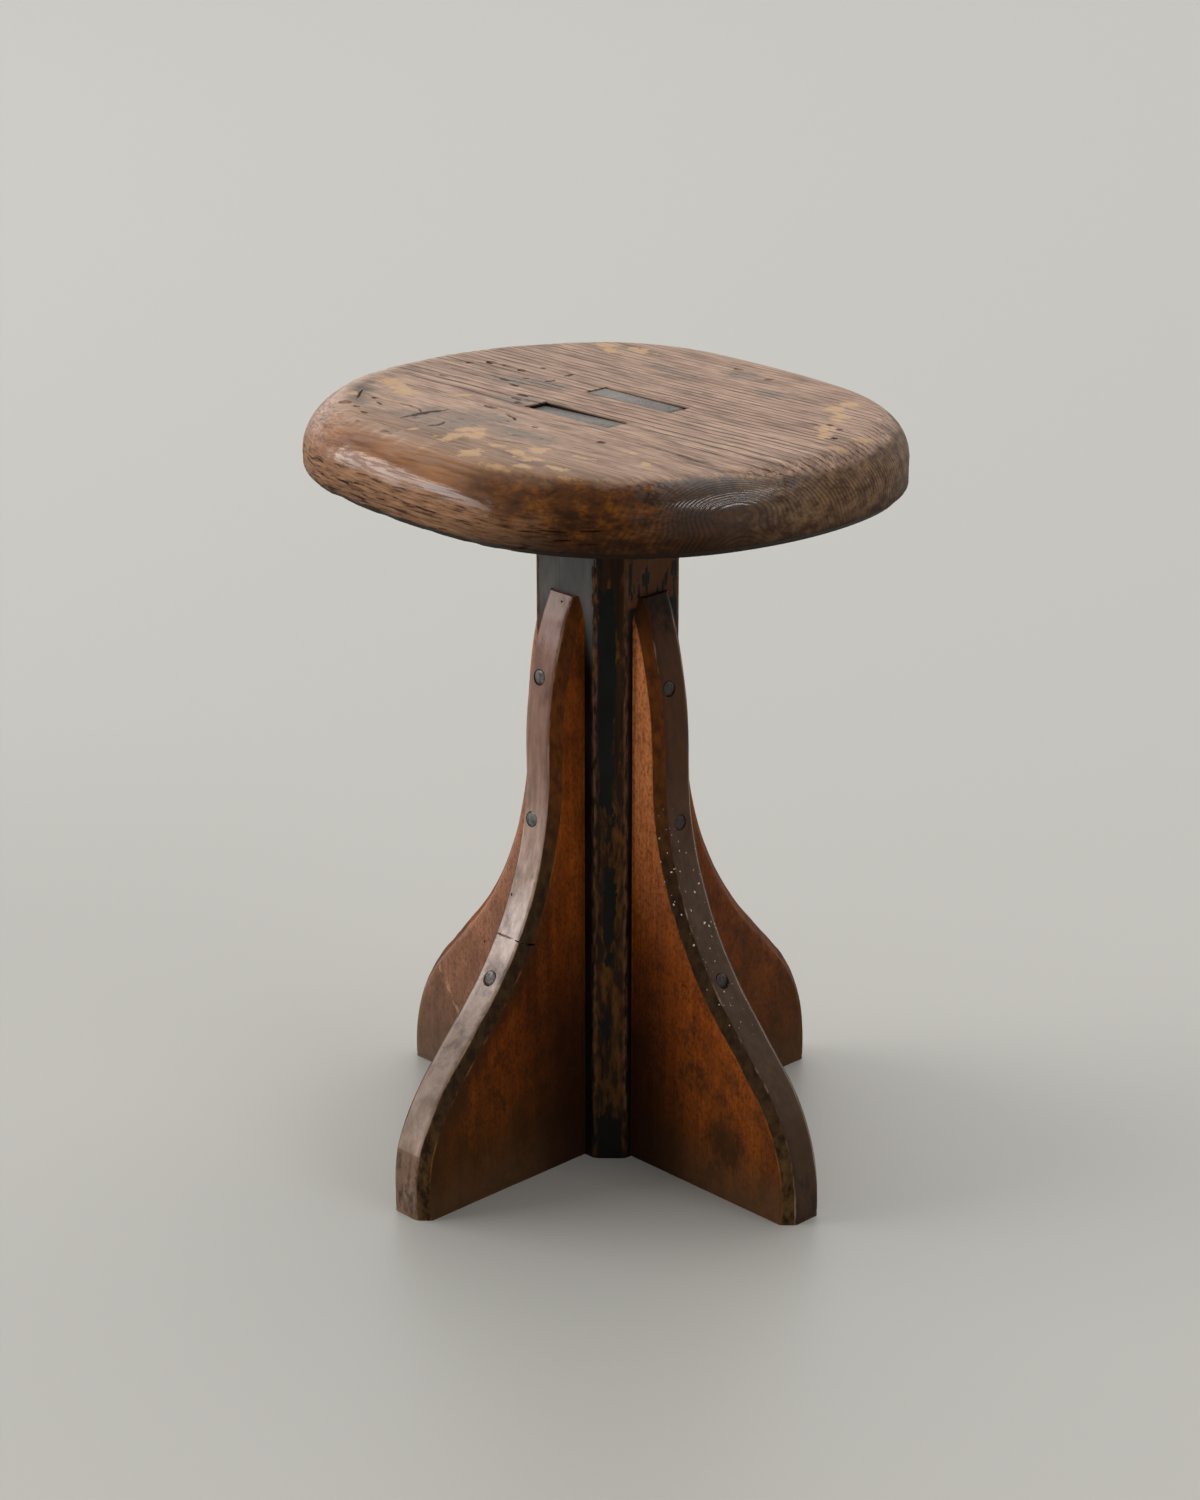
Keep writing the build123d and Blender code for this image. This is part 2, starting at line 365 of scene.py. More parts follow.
def rough(places, size, seed=0.0):
    """Smooth noise from about -1 to 1 at each place; size is how long its lumps are along X, Y and Z."""
    scaled = places / np.array(size, float) + seed
    return np.array([noise.noise(p) for p in scaled])


def step(low, high, value):
    """0 below low, 1 above high and smooth between; high may lie below low."""
    t = np.clip((value - low) / (high - low), 0, 1)
    return t * t * (3 - 2 * t)


def tree_of(places):
    """A search tree for the nearest of many places."""
    made = kdtree.KDTree(len(places))
    for i, p in enumerate(places):
        made.insert(p, i)
    made.balance()
    return made


def keep_marks(piece, places, marks):
    """Gives each vertex of a cut piece the marks of the nearest vertex before cutting, for its material."""
    near = tree_of(places)
    final, _ = points_of(piece)
    index = np.array([near.find(p)[1] for p in final])
    for name, values in marks.items():
        layer = piece.data.attributes.new(name, "FLOAT", "POINT")
        layer.data.foreach_set("value", values[index].astype(np.float32))


def patches(places, table):
    """How deep each place lies inside the nearest of some oval patches: 1 at a middle, 0 at an edge."""
    best = np.full(len(places), -2.0)
    for x, y, length, width, turn in table:
        a = math.radians(turn)
        along = (places[:, 0] - x) * math.cos(a) + (places[:, 1] - y) * math.sin(a)
        off = (places[:, 1] - y) * math.cos(a) - (places[:, 0] - x) * math.sin(a)
        best = np.maximum(best, 1 - np.hypot(along / (length / 2), off / (width / 2)))
    return best


def lens(b, middle, along, out, size):
    """A long thin cutter lying in a surface: size is its length, width and how deep it bites."""
    along = Vector(along)
    out = Vector(out)
    along = (along - out * along.dot(out)).normalized()
    turn = Matrix((along, out.cross(along), out)).transposed().to_4x4()
    place = Matrix.Translation(Vector(middle) * MM)
    made = bmesh.ops.create_icosphere(b, subdivisions=2, radius=1.0)
    for v in made["verts"]:
        v.co += 0.25 * noise.noise_vector(v.co * 2.1 + Vector(middle) * 0.37)
        v.co = place @ (turn @ (Vector((v.co.x * size[0] / 2, v.co.y * size[1] / 2, v.co.z * size[2])) * MM))


def groove(b, path, width, depth):
    """A jagged V-shaped cutter along a path on the seat's top, tapering to nothing at both ends."""
    part = bmesh.new()
    bmesh.ops.create_cone(part, cap_ends=True, segments=4, radius1=1.0, radius2=1.0, depth=1.0)
    runs = [e for e in part.edges if abs(e.verts[0].co.z - e.verts[1].co.z) > 0.5]
    bmesh.ops.subdivide_edges(part, edges=runs, cuts=15, use_grid_fill=True)
    for v in part.verts:
        t = (v.co.z + 0.5) * (len(path) - 1)
        i = min(int(t), len(path) - 2)
        a = Vector(path[i])
        c = Vector(path[i + 1])
        spot = a.lerp(c, t - i)
        run = (c - a).normalized()
        thin = max(0.06, math.sin(math.pi * min(1.0, max(0.0, v.co.z + 0.5))) ** 0.6)
        stray = 0.35 * width * noise.noise(Vector((t * 2.3, path[0][0], width)))
        off = v.co.x * 0.5 * width * thin + stray
        height = SEAT_TOP - 0.4 + v.co.y * depth * thin
        v.co = Vector((spot.x - run.y * off, spot.y + run.x * off, height)) * MM
    merge(b, part)


def box(b, sides, low, high):
    """A block between low and high x, low and high y, and two heights; high may be a pair, for a slope."""
    x0, x1, y0, y1 = sides
    made = bmesh.ops.create_cube(b, size=1.0)
    for v in made["verts"]:
        top = high if isinstance(high, float) else high[v.co.x > 0]
        v.co = Vector((x1 if v.co.x > 0 else x0, y1 if v.co.y > 0 else y0, top if v.co.z > 0 else low)) * MM
    return made["verts"]


def shade(piece, sharp_angle=34):
    """Smooth shading with crisp sawn edges."""
    piece.data.shade_smooth()
    piece.data.set_sharp_from_angle(angle=math.radians(sharp_angle))


def join_object(piece, slot, material, *nodes):
    """Finishes a piece: smooth shading, its material, a place under the root body, and the CAD nodes it
    stands for hidden.
    """
    shade(piece)
    piece.data.materials.clear()
    piece.data.materials.append(material)
    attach(piece, "root")
    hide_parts(*nodes)


def bulge(way, heights):
    """How far a bracket stands proud of the drawing at some heights, eased from one stretch to the next."""
    near = np.linspace(-BULGE_EASE, BULGE_EASE, 9)
    return np.mean([np.interp(heights + d, *zip(*BULGES[way])) for d in near], axis=0)


def edge_reach(way, heights, worked=False):
    """How far a bracket's outer edge stands from the axis at some heights, as drawn or as sawn by eye."""
    out, across = BRACKET_WAYS[way]
    places = np.array([v.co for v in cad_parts["bracket_" + way].data.vertices]) / MM
    on_arris = np.abs(np.abs(places @ np.array(across)) - BRACKET_HALF + BRACKET_CHAMFER) < WELD
    arris = places[on_arris & (places @ np.array(out) > POST_HALF_X + 1)]
    arris = arris[np.argsort(arris[:, 2])]
    reach = np.interp(heights, arris[:, 2], arris @ np.array(out))
    return reach + bulge(way, heights) if worked else reach


def nail_axes():
    """For every row of nails and bracket: the middle of the head's top, the outward axis and the length."""
    found = {}
    for i, (row, tilt) in enumerate(NAIL_TILTS.items()):
        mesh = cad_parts[row].data
        places = np.array([v.co for v in mesh.vertices]) / MM
        for way, (out, across) in BRACKET_WAYS.items():
            axis = out * math.cos(math.radians(tilt)) + Vector((0, 0, math.sin(math.radians(tilt))))
            mine = places[places @ np.array(out) > np.abs(places @ np.array(across)) + 1.0]
            reach = mine @ np.array(axis)
            head = Vector(mine[reach > reach.max() - 0.05].mean(axis=0))
            aside, rise = NAIL_STRAYS[way][i]
            outward = edge_reach(way, head.z + rise, True) - edge_reach(way, head.z)
            strayed = head + across * aside + out * outward + Vector((0, 0, rise))
            found[row, way] = (head, strayed, axis, reach.max() - reach.min())
    return found


def axis_frame(middle, axis):
    """A matrix that takes +Z to an axis and the origin to a place in millimetres."""
    return Matrix.Translation(Vector(middle) * MM) @ axis.to_track_quat("Z", "X").to_matrix().to_4x4()


def seat_piece(material):
    """The seat board: worn rim, slightly dished top, splits, pits and crisp mortises."""
    b = solid_from("seat")
    reach = math.hypot(POST_HALF_X, POST_HALF_Y) * MM
    plug(b, [f for f in b.faces if abs(f.normal.z) < 0.3 and math.hypot(*f.calc_center_median().xy) < reach])
    seat = new_object(b, "seat_board")
    even_mesh(seat, SEAT_CELL)
    places, normals = points_of(seat)
    x, y, z = places.T
    top = step(0.6, 0.95, normals[:, 2])
    side = step(0.75, 0.25, np.abs(normals[:, 2]))
    long_side = side * step(0.35, 0.8, np.abs(normals[:, 1]))
    low = step(SEAT_TOP - 13, SEAT_TOP - 25, z)
    # How far each place lies in from the rounded edge, or below zero how far down over it
    rounding = tree_of(places[z < SEAT_TOP - EDGE_DROP])
    inset = np.array([rounding.find(p)[2] for p in places])
    marks = {
        "ochre": patches(places, OCHRE) * top - 2 * (1 - top),
        "stain": patches(places, STAIN) * top - 2 * (1 - top),
        "rim": np.where(z < SEAT_TOP - EDGE_DROP, z - SEAT_TOP, inset),
    }
    wave = 0.45 * rough(places, (75, 75, 60)) + 0.15 * rough(places, (22, 22, 14), 3.1)
    fray = np.maximum(0, rough(places, (46, 12, 3.4), 7.7))
    fray += 0.5 * np.maximum(0, rough(places, (20, 8, 2.2), 1.9))
    chip = np.maximum(0, rough(places, (14, 14, 9), 5.3) - 0.12)
    chip *= step(SEAT_UNDERSIDE + 8, SEAT_UNDERSIDE + 1, z)
    worn_grain = np.maximum(0, rough(places, (60, 9, 9), 2.2)) * step(SEAT_TOP + 0.2, SEAT_TOP - 0.2, z)
    pitted = step(-0.1, 0.4, marks["stain"]) * np.maximum(0, rough(places, (11, 5, 5), 4.4) - 0.1)
    inward = 1.3 * fray * long_side * low + chip * step(0.2, -0.4, normals[:, 2])
    inward += top * (0.35 * worn_grain + 1.1 * pitted) - side * wave
    moved = places - normals * inward[:, None]
    # The front left of the rim is worn rounder than the rest, from the drawn radius to a larger one
    down = np.clip(SEAT_TOP - z, 0, SEAT_ROUND)
    flat_start = SEAT_ROUND - math.sqrt(SEAT_ROUND**2 - (SEAT_ROUND - EDGE_DROP) ** 2)
    on_round = SEAT_ROUND - np.sqrt(SEAT_ROUND**2 - (SEAT_ROUND - down) ** 2)
    in_from_side = np.where(down > EDGE_DROP, on_round, flat_start + inset)
    bigger = WORN_ROUND - np.sqrt(WORN_ROUND**2 - np.maximum(0, WORN_ROUND - in_from_side) ** 2)
    squeeze = np.clip((SEAT_UNDERSIDE + 4 - z) / (SEAT_UNDERSIDE + 4 - SEAT_TOP + SEAT_ROUND), 0, 1)
    dip = np.where(SEAT_TOP - z > SEAT_ROUND, (WORN_ROUND - SEAT_ROUND) * squeeze, bigger - down)
    moved[:, 2] -= dip * step(20, -70, x + y) * (normals[:, 2] > -0.2)
    moved[:, 2] -= DISH * top * (1 - np.clip(np.hypot(x + 6, y - 2) / DISH_RADIUS, 0, 1) ** 2)
    move_points(seat, moved)
    b = bmesh.new()
    for sides in MORTISES:
        box(b, sides, SEAT_UNDERSIDE - 6.0, SEAT_TOP + 6.0)
    for x0, y0, length, width, depth in PITS:
        lens(b, (x0, y0, SEAT_TOP - 0.3), (1, 0, 0), (0, 0, 1), (length, width, depth))
    pick = random.Random(11)
    nearest = tree_of(moved)
    for sign in (-1, 1):
        for row in range(SPLIT_ROWS):
            for column in range(SPLITS_IN_ROW):
                along = SPLIT_START + SPLIT_STEP * (column + row % 2 / 2) + pick.uniform(-5, 5)
                spot = Vector((along, 160 * sign, SEAT_UNDERSIDE + 4.5 + SPLIT_RISE * row))
                length = pick.uniform(8, 20)
                width = pick.uniform(0.6, 1.5)
                depth = pick.uniform(0.6, 1.5)
                if pick.random() < 0.5 or (row > 3 and spot.x > 60):
                    continue
                i = nearest.find(spot)[1]
                lens(b, moved[i], (1, 0, 0.06), normals[i], (length, width, depth))
    combine(seat, new_object(b, "seat_cuts"), "DIFFERENCE")
    # Every second crack runs into the one before it, so those are cut after the others
    for some in (CRACKS[::2], CRACKS[1::2]):
        b = bmesh.new()
        for path, width, depth in some:
            groove(b, path, width, depth)
        combine(seat, new_object(b, "cracks"), "DIFFERENCE")
    seal(seat)
    keep_marks(seat, moved, marks)
    join_object(seat, "seat_board", material, "seat")


def post_piece(material):
    """The post: worn chamfers and foot, with two separate tenon ends standing in the seat."""
    b = solid_from("post")
    level = Vector((0, 0, (SEAT_UNDERSIDE + 0.5) * MM))
    everything = b.verts[:] + b.edges[:] + b.faces[:]
    bmesh.ops.bisect_plane(b, geom=everything, plane_co=level, plane_no=(0, 0, 1), clear_outer=True)
    bmesh.ops.holes_fill(b, edges=[e for e in b.edges if e.is_boundary], sides=0)
    post = new_object(b, "post_body")
    even_mesh(post, POST_CELL)
    places, normals = points_of(post)
    x, y, z = places.T
    sum_xy = np.abs(x) + np.abs(y)
    plane = POST_HALF_X + POST_HALF_Y - POST_CHAMFER
    across = (np.abs(x) - np.abs(y) - (POST_HALF_X - POST_HALF_Y)) / math.sqrt(2)
    half = POST_CHAMFER / math.sqrt(2)
    chamfer = step(plane - 1.2, plane - 0.3, sum_xy)
    from_arris = np.where(chamfer > 0.5, half - np.abs(across), plane - sum_xy)
    # The four chamfers carry the same islands of paint, started at different heights
    shift = np.where((x > 0) & (y < 0), 0.0, np.where(x > 0, 61.0, np.where(y > 0, 143.0, 217.0)))
    height = np.where(shift > 0, np.mod(z + shift, 380.0), z)
    island = np.full(len(places), -1.0)
    for low, high, left, right in PAINT_ISLANDS:
        up_in = np.minimum(height - low, high - height) / 12
        across_in = np.minimum(across - left, right - across) / 3.5
        island = np.maximum(island, np.clip(np.minimum(up_in, across_in), -1, 1))
    flat = np.clip((from_arris - 1.5) / 2.0, -1, 1)
    # Above the right bracket most of the paint is gone
    above = (x > POST_HALF_X - 2) & (z > BRACKET_TOP - 6)
    flat = np.where(above, np.minimum(flat, np.clip((-BRACKET_HALF - y) / 4, -0.12, 1)), flat)
    marks = {
        "paint": np.where(chamfer > 0.5, island, flat),
        "arris": step(2.6, 0.2, from_arris),
    }
    worn = marks["arris"] * (0.35 + 0.5 * np.maximum(0, rough(places, (9, 9, 26))))
    dents = 0.5 * np.maximum(0, rough(places, (8, 8, 14), 4.2) - 0.25)
    foot = 1.2 * step(3.0, 0.0, z) * (0.5 + 0.5 * rough(places, (12, 12, 12), 9.1)) * (normals[:, 2] > -0.5)
    swell = 0.25 * rough(places, (50, 50, 120), 6.6)
    moved = places + normals * (swell - worn - dents - foot)[:, None]
    moved[:, 2] = np.where(z < 0.5, z, moved[:, 2])
    move_points(post, moved)
    for sides, high in (FRONT_TENON, BACK_TENON, CHIP):
        b = bmesh.new()
        box(b, sides, SEAT_UNDERSIDE - 8.0, high)
        bmesh.ops.bevel(b, geom=b.edges[:], offset=0.5 * MM, segments=2, profile=0.5, affect="EDGES",
                        material=-1)
        combine(post, new_object(b, "tenon"), "UNION")
    keep_marks(post, moved, marks)
    join_object(post, "painted_post", material, "post")


def bracket_piece(way, material, nails):
    """One bracket: worn arrises and foot, nail pockets, and the front one's crack and worm holes."""
    out, across = BRACKET_WAYS[way]
    mine = [nail for (row, whose), nail in nails.items() if whose == way]
    b = solid_from("bracket_" + way)
    in_hole = set()
    for head, strayed, axis, length in mine:
        for v in b.verts:
            spot = v.co / MM - head
            if (spot - axis * spot.dot(axis)).length < NAIL_HOLE_REACH:
                in_hole.add(v)
    plug(b, [f for f in b.faces if in_hole.issuperset(f.verts)])
    bracket = new_object(b, "bracket_" + way + "_worn")
    even_mesh(bracket, BRACKET_CELL)
    places, normals = points_of(bracket)
    z = places[:, 2]
    off = np.abs(places @ np.array(across))
    edge_half = BRACKET_HALF - BRACKET_CHAMFER
    outward = places @ np.array(out)
    flank = step(BRACKET_HALF - 0.7, BRACKET_HALF - 0.1, off)
    edge = step(edge_half + 0.7, edge_half - 0.1, off)
    slope = tree_of(places[(flank < 0.5) & (edge < 0.5)])
    inset = np.array([slope.find(p)[2] for p in places])
    arris = np.maximum(step(1.6, 0.2, np.abs(off - edge_half)), step(1.7, 0.3, np.abs(inset - 1.2)) * flank)
    arris = arris * (normals @ np.array(out) > -0.3)
    # A pale scuff slants down the side of the left bracket
    start, end = SCUFF
    part = np.clip((places - start) @ (end - start) / ((end - start) @ (end - start)), 0, 1)
    scuff = step(3.2, 0.0, np.linalg.norm(places - start - part[:, None] * (end - start), axis=1))
    marks = {"scuff": scuff, "inboard": edge_reach(way, z) - outward}
    wear = arris * (0.3 + 0.35 * np.maximum(0, rough(places, (7, 7, 22), 1.3)))
    dents = 0.45 * np.maximum(0, rough(places, (7, 7, 11), 8.4) - 0.28) * (1 - flank)
    foot = 1.0 * step(4.0, 0.0, z) * (0.55 + 0.45 * rough(places, (9, 9, 9), 2.9)) * (normals[:, 2] > -0.5)
    swell = 0.22 * rough(places, (38, 38, 70), 5.1) + 0.12 * rough(places, (14, 14, 26), 0.7) * (1 - flank)
    moved = places + normals * (swell - wear - dents - foot)[:, None]
    moved[:, 2] = np.where(z < 0.5, z, moved[:, 2])
    share = np.clip((outward - outward.min()) / (edge_reach(way, z) - outward.min()), 0, 1)
    moved += np.outer(share * bulge(way, z), np.array(out))
    # The bend near the top is sawn rounder than drawn
    near = np.linspace(-EDGE_EASE, EDGE_EASE, 9)
    rounded = np.mean([edge_reach(way, z + d) for d in near], axis=0) - edge_reach(way, z)
    moved += np.outer(share * rounded * step(285, 300, z) * step(344, 336, z), np.array(out))
    if way == "front":
        crease = CREASE_STAND * np.maximum(0, 1 - np.abs(z - CREASE_HEIGHT) / CREASE_FADE)
        moved += np.outer(share * crease, np.array(out))
    moved = np.where((outward < outward.min() + 0.6)[:, None], places, moved)
    move_points(bracket, moved)
    b = bmesh.new()
    for head, strayed, axis, length in mine:
        mouth = axis_frame(strayed + axis * POCKET_RISE, axis)
        deep = 2 * (POCKET_RISE + NAIL_HEAD_THICKNESS + 0.3)
        bmesh.ops.create_cone(b, cap_ends=True, segments=28, radius1=POCKET_RADIUS * MM,
                              radius2=POCKET_RADIUS * MM, depth=deep * MM, matrix=mouth)
    for middle, along, facing, size in BRACKET_CUTS[way]:
        lens(b, middle, along, facing, size)
    combine(bracket, new_object(b, "pockets"), "DIFFERENCE")
    keep_marks(bracket, moved, marks)
    join_object(bracket, "bracket_wood", material, "bracket_" + way)


def nail_piece(row, material, nails):
    """Four hammered nails: a low domed head of uneven outline on a square shank."""
    b = bmesh.new()
    for (whose, way), (head, strayed, axis, length) in nails.items():
        if whose != row:
            continue
        part = bmesh.new()
        bmesh.ops.create_cone(part, cap_ends=True, segments=26, radius1=NAIL_HEAD_RADIUS * 0.92,
                              radius2=NAIL_HEAD_RADIUS, depth=NAIL_HEAD_THICKNESS)
        crown = max(part.faces, key=lambda f: f.calc_center_median().z)
        for inset, rise in ((0.5, 0.25), (0.9, 0.12), (1.2, 0.05)):
            bmesh.ops.inset_region(part, faces=[crown], thickness=inset, depth=rise)
        bmesh.ops.create_cone(part, cap_ends=True, segments=4, radius1=0.4, radius2=NAIL_SHANK / math.sqrt(2),
                              depth=length - 0.6, matrix=Matrix.Translation((0, 0, -length / 2 + 0.5)))
        seed = head * 0.71
        place = axis_frame(strayed, axis)
        for v in part.verts:
            radial = Vector((v.co.x, v.co.y, 0))
            if radial.length > 2.95:
                v.co += radial.normalized() * 0.3 * noise.noise(radial * 0.35 + seed)
            v.co.z += 0.16 * noise.noise(v.co * 0.6 + seed) - 0.5 * NAIL_HEAD_THICKNESS - 0.1
            v.co = place @ (v.co * MM)
        merge(b, part)
    nail = new_object(b, row + "_hammered")
    join_object(nail, "nail_iron", material, row)


def growth_rings(t, place):
    """Rings around the heart and the knot: their phase, the fine rings, and pore lines along the grain."""
    heart = put(t, VECTOR, place, (0, -HEART_Y, -HEART_Z), operation="ADD")
    heart = put(t, VECTOR, heart, (0, 1, 1), operation="MULTIPLY")
    radius = put(t, VECTOR, heart, operation="LENGTH")
    knot = put(t, VECTOR, place, KNOT, operation="SUBTRACT")
    turned = {"Vector": knot, "Angle": -KNOT_TURN}
    knot = put(t, "ShaderNodeVectorRotate", named=turned, rotation_type="Z_AXIS")
    knot = put(t, VECTOR, knot, tuple(1 / k for k in KNOT_SIZE), operation="MULTIPLY")
    knot = put(t, VECTOR, knot, operation="LENGTH")
    knot = put(t, RANGE, knot, 1.9, 0, 0, KNOT_PUSH, **SMOOTH)
    radius = put(t, MATH, radius, knot, operation="SUBTRACT")
    radius = put(t, MATH, lumps(t, place, (260, 80, 80)), 16, radius, operation="MULTIPLY_ADD")
    radius = put(t, MATH, lumps(t, place, (24, 5, 5), 3), 1.3, radius, operation="MULTIPLY_ADD")
    phase = put(t, MATH, radius, math.tau / RING)
    ring = put(t, MATH, phase, operation="SINE")
    twice = put(t, MATH, phase, 2, 1.1, operation="MULTIPLY_ADD")
    late = put(t, MATH, twice, operation="SINE")
    # Open pores show as dark dashes about 6 mm apart on the top, with fainter ones between
    dash = put(t, RANGE, lumps(t, place, (48, 1.6, 1.6), 3), 0.4, 0.56, 0.15)
    early = put(t, MATH, put(t, RANGE, ring, 0.56, 0.88), dash)
    short_dash = put(t, RANGE, lumps(t, place, (30, 1.2, 1.2)), 0.5, 0.6, 0, 0.8)
    between = put(t, MATH, put(t, RANGE, late, 0.7, 1), short_dash)
    return phase, late, put(t, MATH, early, between, operation="MAXIMUM")


def worn_top(t, place, line, fine, pores, inset):
    """Bare wood of the seat's top, from brown to pale tan, stained, cracked and daubed with ochre paint."""
    x, y, z = put(t, SPLIT, place).outputs
    ochre = put(t, ATTRIBUTE, attribute_name="ochre").outputs["Fac"]
    stain = put(t, ATTRIBUTE, attribute_name="stain").outputs["Fac"]
    drift = lumps(t, place, (90, 45, 45))
    tone = put(t, RANGE, lumps(t, place, (110, 26, 26), 3), 0.3, 0.7)
    bare = put(t, MIX, tone, "#977866", "#B69682")
    pale = put(t, RANGE, fine, 0.45, 0.68, 0, 0.8)
    deep = put(t, RANGE, fine, 0.48, 0.28, 0, 0.6)
    # Browner at the front, a little greyer at the left and darker at the front right
    front = put(t, MATH, drift, 50, y, operation="MULTIPLY_ADD")
    front = put(t, RANGE, front, -50, -115, 0, 0.66, **SMOOTH)
    greyed = put(t, MATH, drift, 60, x, operation="MULTIPLY_ADD")
    greyed = put(t, RANGE, greyed, 40, -110, 0, 0.13, **SMOOTH)
    dimmed = put(t, RANGE, y, -20, -70, **SMOOTH)
    dimmed = put(t, MATH, dimmed, put(t, RANGE, x, -80, 60, 0, 0.2))
    smudge = put(t, RANGE, lumps(t, place, (44, 13, 13), 5, 0.6), 0.48, 0.68, 0, 0.68)
    # Dark stains soaked in along the grain, crazed, and nearly black at the left end
    soak = put(t, MATH, lumps(t, place, (18, 11, 11), 5, 0.6), 2, stain, operation="MULTIPLY_ADD")
    soak = put(t, RANGE, soak, 0.8, 1.8, 0, 0.75, **SMOOTH)
    stained = put(t, MIX, put(t, RANGE, x, -92, -124), "#82756B", "#554C46")
    craze = put(t, RANGE, lumps(t, place, (8, 3.6, 3.6), 5, 0.68), 0.56, 0.63, 0, 0.85)
    craze = put(t, MATH, craze, soak)
    lined = put(t, MATH, line, 0.88)
    # Ochre paint rubbed thin, with frayed edges
    frayed = put(t, MATH, lumps(t, place, (8, 6, 6), 7, 0.74), 3.8, ochre, operation="MULTIPLY_ADD")
    daub = put(t, RANGE, frayed, 1.97, 2.37, 0, 0.7)
    # Cracks, pits and mortises are painted dark inside: painted shade in the hollows
    painted_hollow_shade = put(t, RANGE, z, SEAT_TOP - 0.9, SEAT_TOP - 1.8)
    painted_hollow_shade = put(t, MATH, painted_hollow_shade, put(t, RANGE, inset, 12, 16))
    layers = (
        (pale, "#C7A68E"), (deep, "#694C3E"), (front, "#7C5A3A"), (greyed, "#7A6C62"),
        (dimmed, "#5A4436"), (smudge, "#665145"), (pores, "#4C3830"), (soak, stained),
        (craze, "#3A2E28"), (lined, "#2F201A"), (daub, "#C4A076"), (painted_hollow_shade, "#1C130D"),
    )
    for amount, tint in layers:
        bare = put(t, MIX, amount, bare, tint)
    return bare


def seat_material():
    """Ring-porous board: bare brown top with dark pore lines, varnish and grime left on the rim."""
    material, t, place = new_material("worn_ring_porous_hardwood")
    x, y, z = put(t, SPLIT, place).outputs
    inset = put(t, ATTRIBUTE, attribute_name="rim").outputs["Fac"]
    phase, late, line = growth_rings(t, place)
    # The lines are strong across the middle, and mostly rubbed away at the front and the back
    where = put(t, MATH, lumps(t, place, (90, 45, 45)), 70, y, operation="MULTIPLY_ADD")
    zone = put(t, RANGE, where, -30, 10, 0.2, **SMOOTH)
    zone = put(t, MATH, zone, put(t, RANGE, where, 150, 115, 0.5, **SMOOTH))
    line = put(t, MATH, line, zone)
    # Fine streaks, and open pores drawn twice as coarse as real ones
    fine = lumps(t, place, (30, 1.8, 1.8), 4, 0.6)
    pores = put(t, RANGE, lumps(t, place, (18, 1.1, 1.1), 3, 0.6), 0.6, 0.68, 0, 0.75)
    bare = worn_top(t, place, line, fine, pores, inset)
    # Rim: orange-brown varnish at the left, nearly black at the front corner, browner again at the right.
    # Around is how far to the right a place lies as seen from the front right corner.
    around = put(t, MATH, y, 1.03, x, operation="MULTIPLY_ADD")
    mottle = lumps(t, place, (34, 34, 18), 3)
    drifted = put(t, MATH, mottle, 110, around, operation="MULTIPLY_ADD")
    streak = put(t, RANGE, lumps(t, place, (40, 7, 3.2), 4), 0.32, 0.68)
    varnish = put(t, MIX, streak, "#6A3A14", "#946032")
    amber = put(t, MIX, streak, "#5E340E", "#80501F")
    deeper = put(t, RANGE, drifted, -125, -45, **SMOOTH)
    thinned = put(t, RANGE, inset, -3, 4, 0, 0.8)
    varnish = put(t, MIX, deeper, varnish, amber)
    varnish = put(t, MIX, thinned, varnish, "#A97E5E")
    speck = put(t, RANGE, lumps(t, place, (11, 11, 6), 6, 0.7), 0.46, 0.66)
    gnarl = put(t, RANGE, lumps(t, place, (16, 16, 7), 5, 0.62), 0.42, 0.62, 0, 0.75)
    dark = put(t, MIX, speck, "#4E2A0A", "#7E4912")
    dark = put(t, MIX, gnarl, dark, "#1C0D04")
    darker = put(t, RANGE, drifted, -90, 10, **SMOOTH)
    darker = put(t, MATH, darker, put(t, RANGE, inset, 7, -2, 0.3))
    # The knot's loops, then worn brown with end grain showing as close lines
    off_knot = put(t, MATH, put(t, MATH, around, 85, operation="SUBTRACT"), operation="ABSOLUTE")
    figured = put(t, MIX, put(t, RANGE, late, -0.2, 0.9), "#402717", "#1F120A")
    knotty = put(t, RANGE, off_knot, 62, 22, 0, 0.7, **SMOOTH)
    right = put(t, RANGE, around, 60, 150, **SMOOTH)
    worn = put(t, RANGE, lumps(t, place, (9, 9, 6), 6, 0.68), 0.4, 0.62)
    brown = put(t, MIX, worn, "#4B3323", "#7F6247")
    every = put(t, MATH, put(t, MATH, phase, 1.7), operation="SINE")
    every = put(t, RANGE, every, 0, 0.9, 0, 0.55)
    every = put(t, MATH, every, put(t, RANGE, mottle, 0.62, 0.42, 0.15))
    every = put(t, MATH, every, put(t, RANGE, x, 70, 135))
    # Below the glossy band the left of the rim is frayed: pale fibres and dark splits
    fibre = lumps(t, place, (17, 6, 1.4), 5, 0.62)
    ragged = put(t, MATH, mottle, 14, inset, operation="MULTIPLY_ADD")
    ragged = put(t, RANGE, ragged, -4, -9.5)
    ragged = put(t, MATH, ragged, put(t, RANGE, drifted, 20, -60))
    torn = put(t, MIX, put(t, RANGE, fibre, 0.36, 0.64), "#5E3A25", "#9B7251")
    torn = put(t, MIX, put(t, RANGE, fibre, 0.45, 0.38, 0, 0.92), torn, "#24150B")
    grime = put(t, MATH, mottle, 16, z, operation="MULTIPLY_ADD")
    grime = put(t, RANGE, grime, 440, 424, 0, 0.72, **SMOOTH)
    grime = put(t, MATH, grime, put(t, RANGE, drifted, -110, -20, 0.5))
    layers = (
        (darker, dark), (knotty, figured), (right, brown), (every, "#23160D"), (ragged, torn),
        (grime, "#1E1007"),
    )
    rim = varnish
    for amount, tint in layers:
        rim = put(t, MIX, amount, rim, tint)
